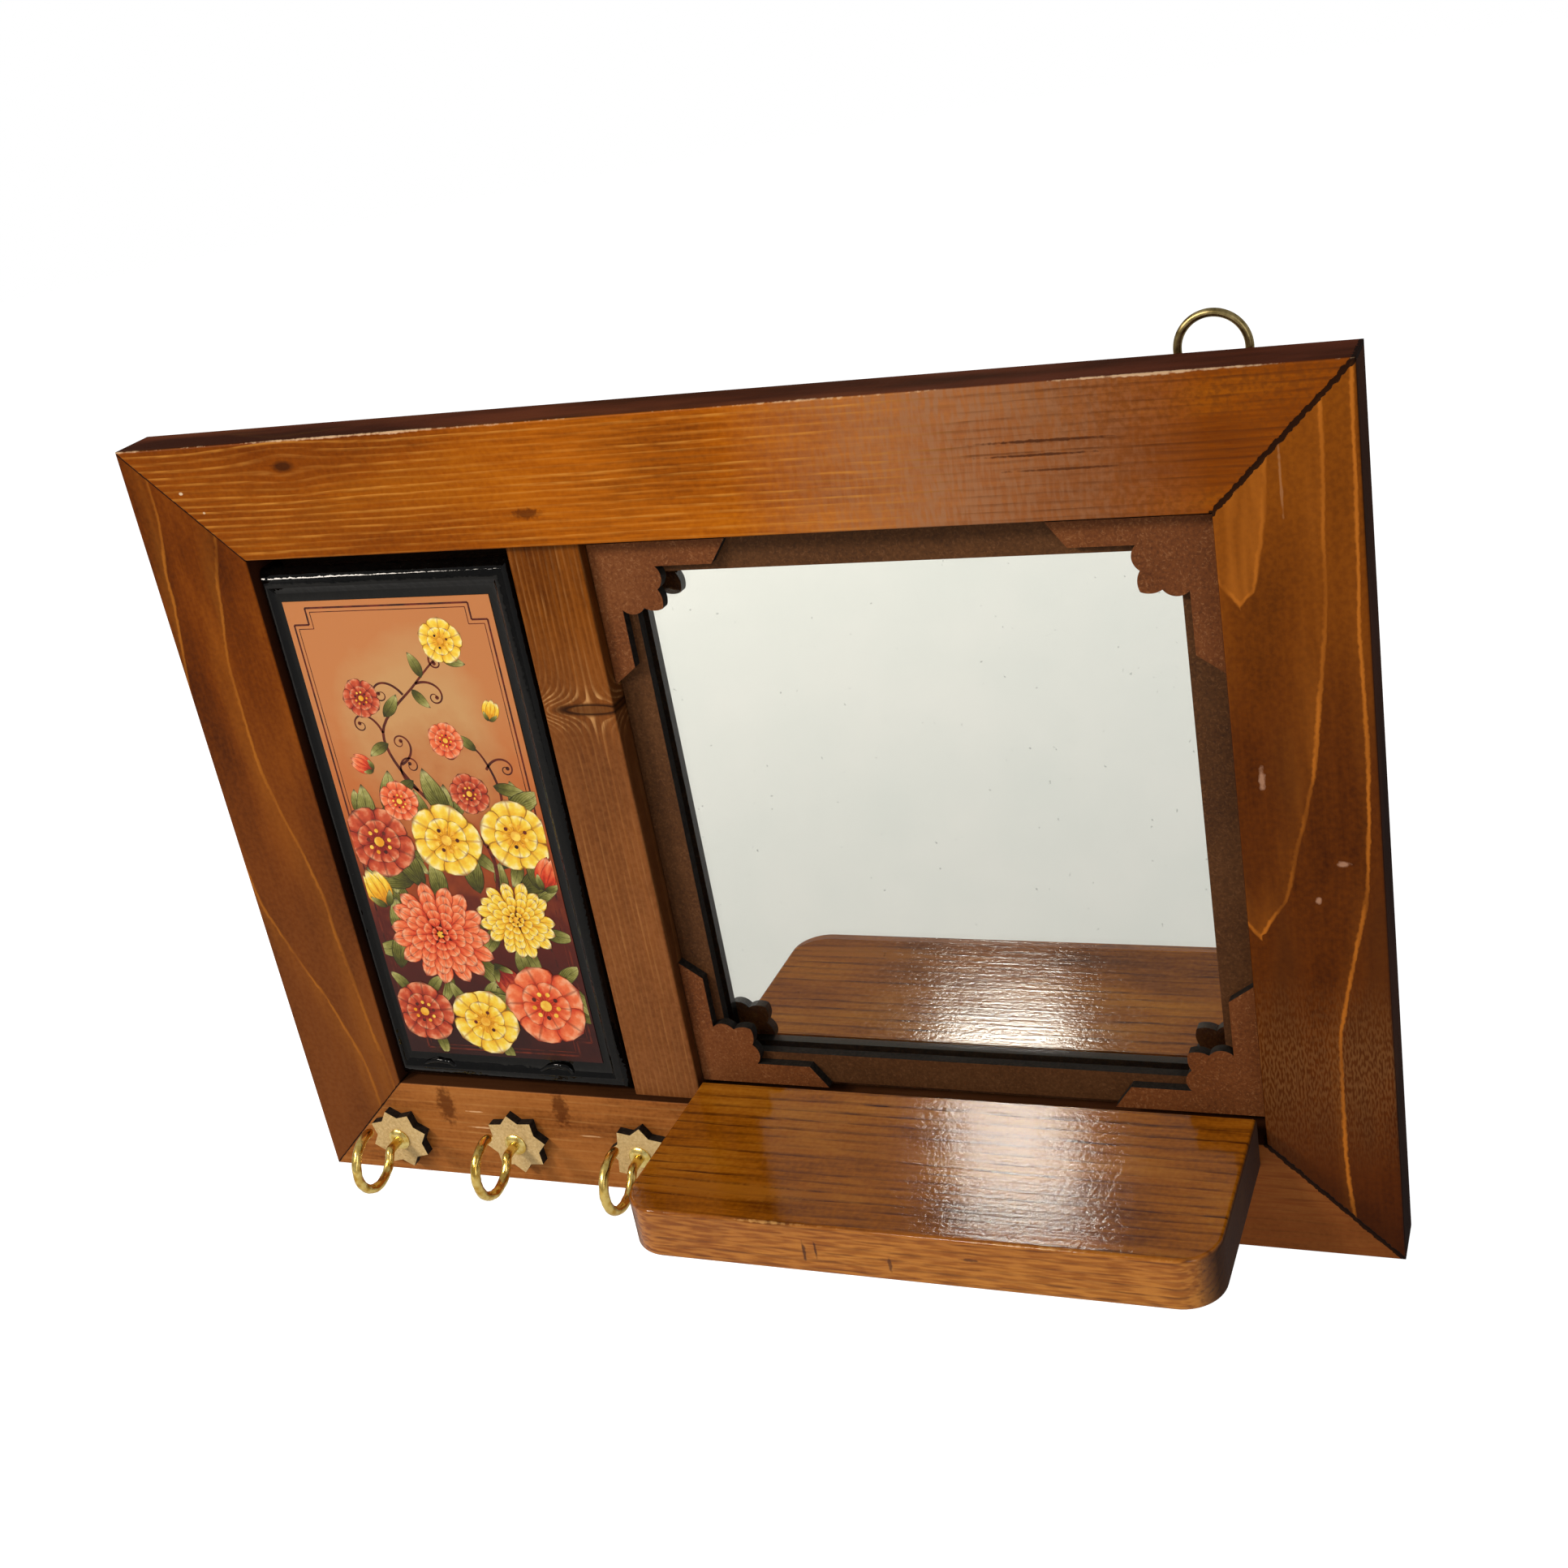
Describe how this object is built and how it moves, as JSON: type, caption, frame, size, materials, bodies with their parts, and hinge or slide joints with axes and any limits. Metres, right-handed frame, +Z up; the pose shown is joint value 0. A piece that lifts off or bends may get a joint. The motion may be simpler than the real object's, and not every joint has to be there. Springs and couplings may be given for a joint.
{
  "type": "mirror with key hooks",
  "caption": "Wooden wall frame holding a picture panel and a mirror with cut fretwork corners, with brass key hooks and a small shelf below and hanging rings behind.",
  "frame": {"origin": "on the back board's back face (the wall plane), at the middle of the frame", "axes": "+X to the viewer's right along the frame's length, +Y into the wall, +Z up"},
  "size_m": [0.4, 0.093, 0.2981],
  "materials": {
    "stained_pine": "stained and varnished, satin",
    "black_lacquer": "black gloss lacquer",
    "printed_paper": "varnished print",
    "mirror_glass": "clear float glass",
    "mirror_silver": "silvered",
    "cut_fibreboard": "raw, cut edges burnt dark",
    "polished_brass": "polished",
    "antique_brass": "antique plated",
    "hardboard": "smooth pressed board",
    "beech": "plain",
    "bright_steel": "bright"
  },
  "bodies": {
    "frame": {"top_rail": "stained_pine", "bottom_rail": "stained_pine", "left_stile": "stained_pine", "right_stile": "stained_pine", "divider_stile": "stained_pine", "shelf_board": "stained_pine", "picture_panel": "black_lacquer", "print_sheet": "printed_paper", "mirror_glass": "mirror_glass", "mirror_silvering": "mirror_silver", "fret_backing_frame": "cut_fibreboard", "fret_corner_top_left": "cut_fibreboard", "fret_corner_top_right": "cut_fibreboard", "fret_corner_bottom_left": "cut_fibreboard", "fret_corner_bottom_right": "cut_fibreboard", "star_washer_left": "cut_fibreboard", "star_washer_middle": "cut_fibreboard", "star_washer_right": "cut_fibreboard", "hook_collar_left": "polished_brass", "hook_collar_middle": "polished_brass", "hook_collar_right": "polished_brass", "key_hook_left": "polished_brass", "key_hook_middle": "polished_brass", "key_hook_right": "polished_brass", "hanger_strap_left": "antique_brass", "hanger_strap_right": "antique_brass", "back_board": "hardboard", "divider_dowels": "beech", "corner_v_nails": "bright_steel", "shelf_nails": "bright_steel", "back_board_pins": "bright_steel", "hanger_screws": "bright_steel"},
    "ring_left": {"hanger_ring_left": "antique_brass"},
    "ring_right": {"hanger_ring_right": "antique_brass"}
  },
  "joints": [
    {"name": "ring_left_swing", "type": "hinge", "parent": "frame", "child": "ring_left", "pos_m": [-0.1604, -0.00205, 0.1355], "axis": [1, 0, 0], "range_deg": [0, 178]},
    {"name": "ring_right_swing", "type": "hinge", "parent": "frame", "child": "ring_right", "pos_m": [0.1604, -0.00205, 0.1355], "axis": [-1, 0, 0], "range_deg": [-2, 178]}
  ]
}
